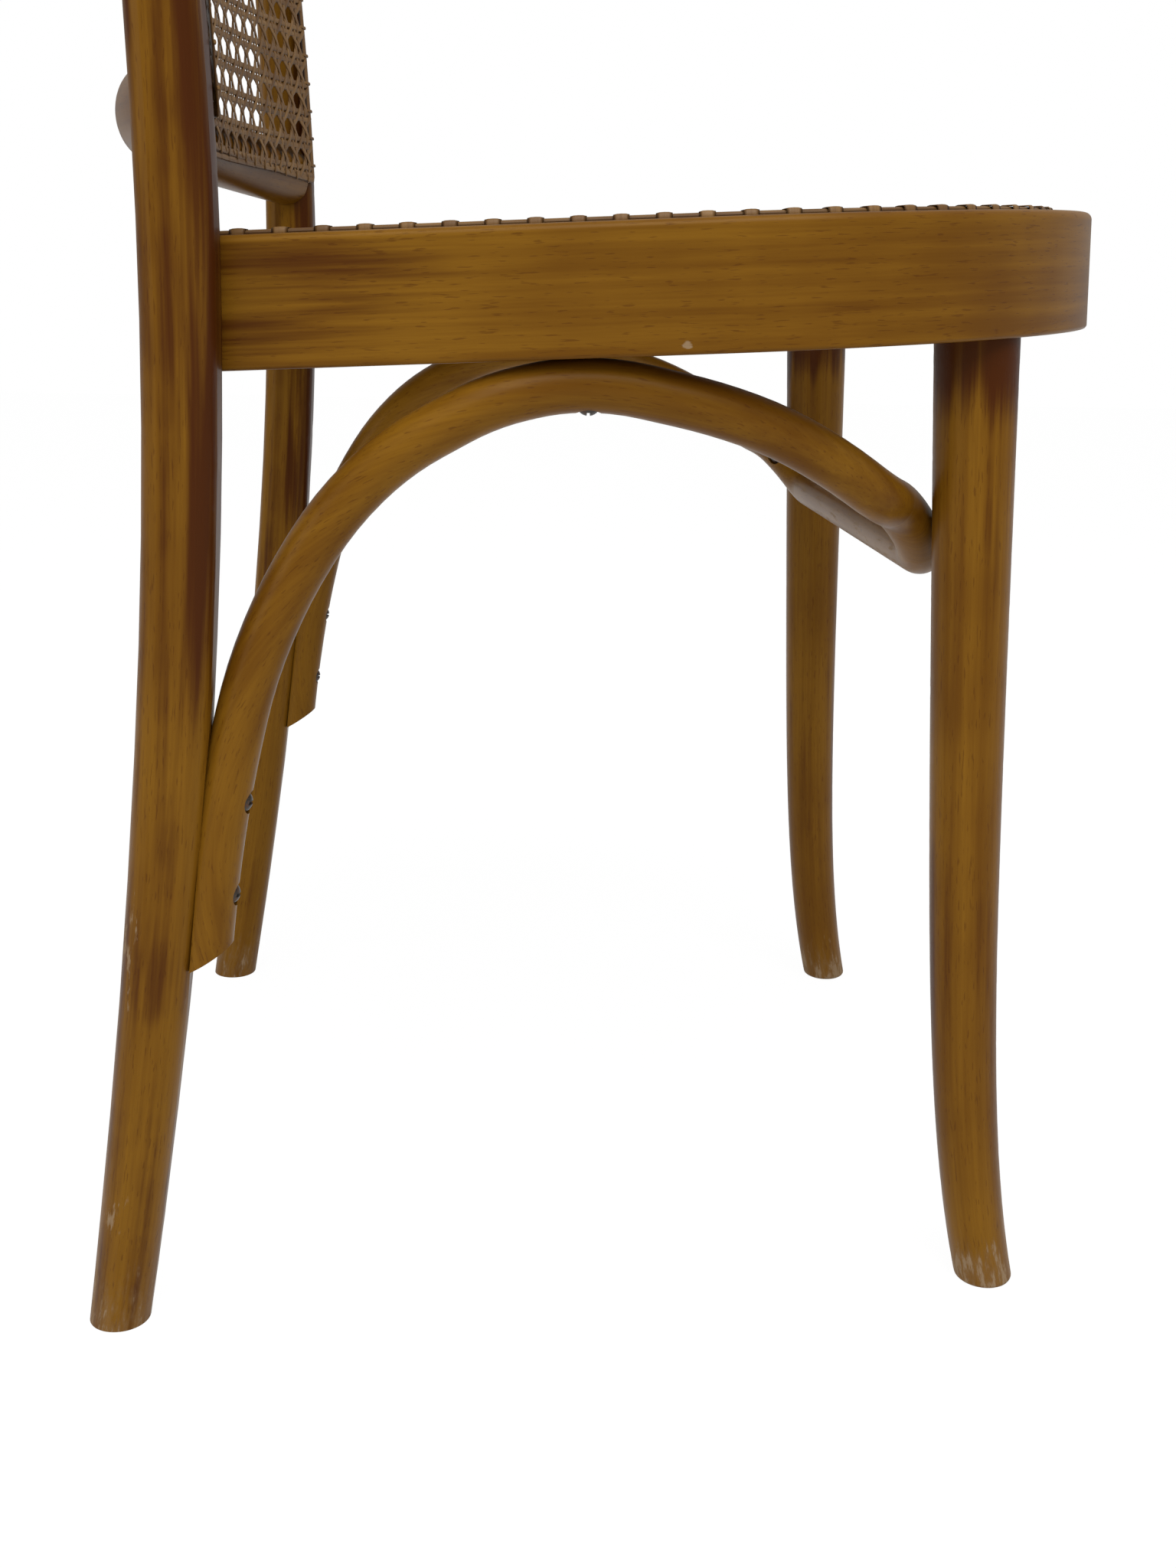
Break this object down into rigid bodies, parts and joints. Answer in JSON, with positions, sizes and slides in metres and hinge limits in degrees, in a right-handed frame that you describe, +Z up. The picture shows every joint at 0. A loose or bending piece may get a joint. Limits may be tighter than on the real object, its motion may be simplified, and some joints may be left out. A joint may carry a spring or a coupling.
{
  "type": "bentwood dining chair",
  "caption": "Bentwood dining chair with a caned seat in a rounded ring, a caned back framed by one bent hoop, and a bent brace under the seat.",
  "frame": {"origin": "on the floor under the middle of the chair's box", "axes": "+Z up, the front of the chair towards -Y, the sitter's left-hand side towards +X"},
  "size_m": [0.4574, 0.461, 0.8355],
  "materials": {
    "beech": "worn semi-gloss varnish",
    "cane": "varnished cane weave",
    "cane_binder": "varnished cane strip",
    "dark_screw": "dark oxidised steel"
  },
  "bodies": {
    "root": {"back_hoop": "beech", "seat_ring": "beech", "front_leg_left": "beech", "front_leg_right": "beech", "brace_hoop": "beech", "lower_back_rail": "beech", "seat_cane": "cane", "seat_cane_binder": "cane_binder", "back_cane": "cane", "back_cane_binder": "cane_binder", "brace_end_screws": "dark_screw", "brace_arch_screws": "dark_screw", "brace_leg_screws": "dark_screw", "seat_screws": "dark_screw"}
  },
  "joints": []
}
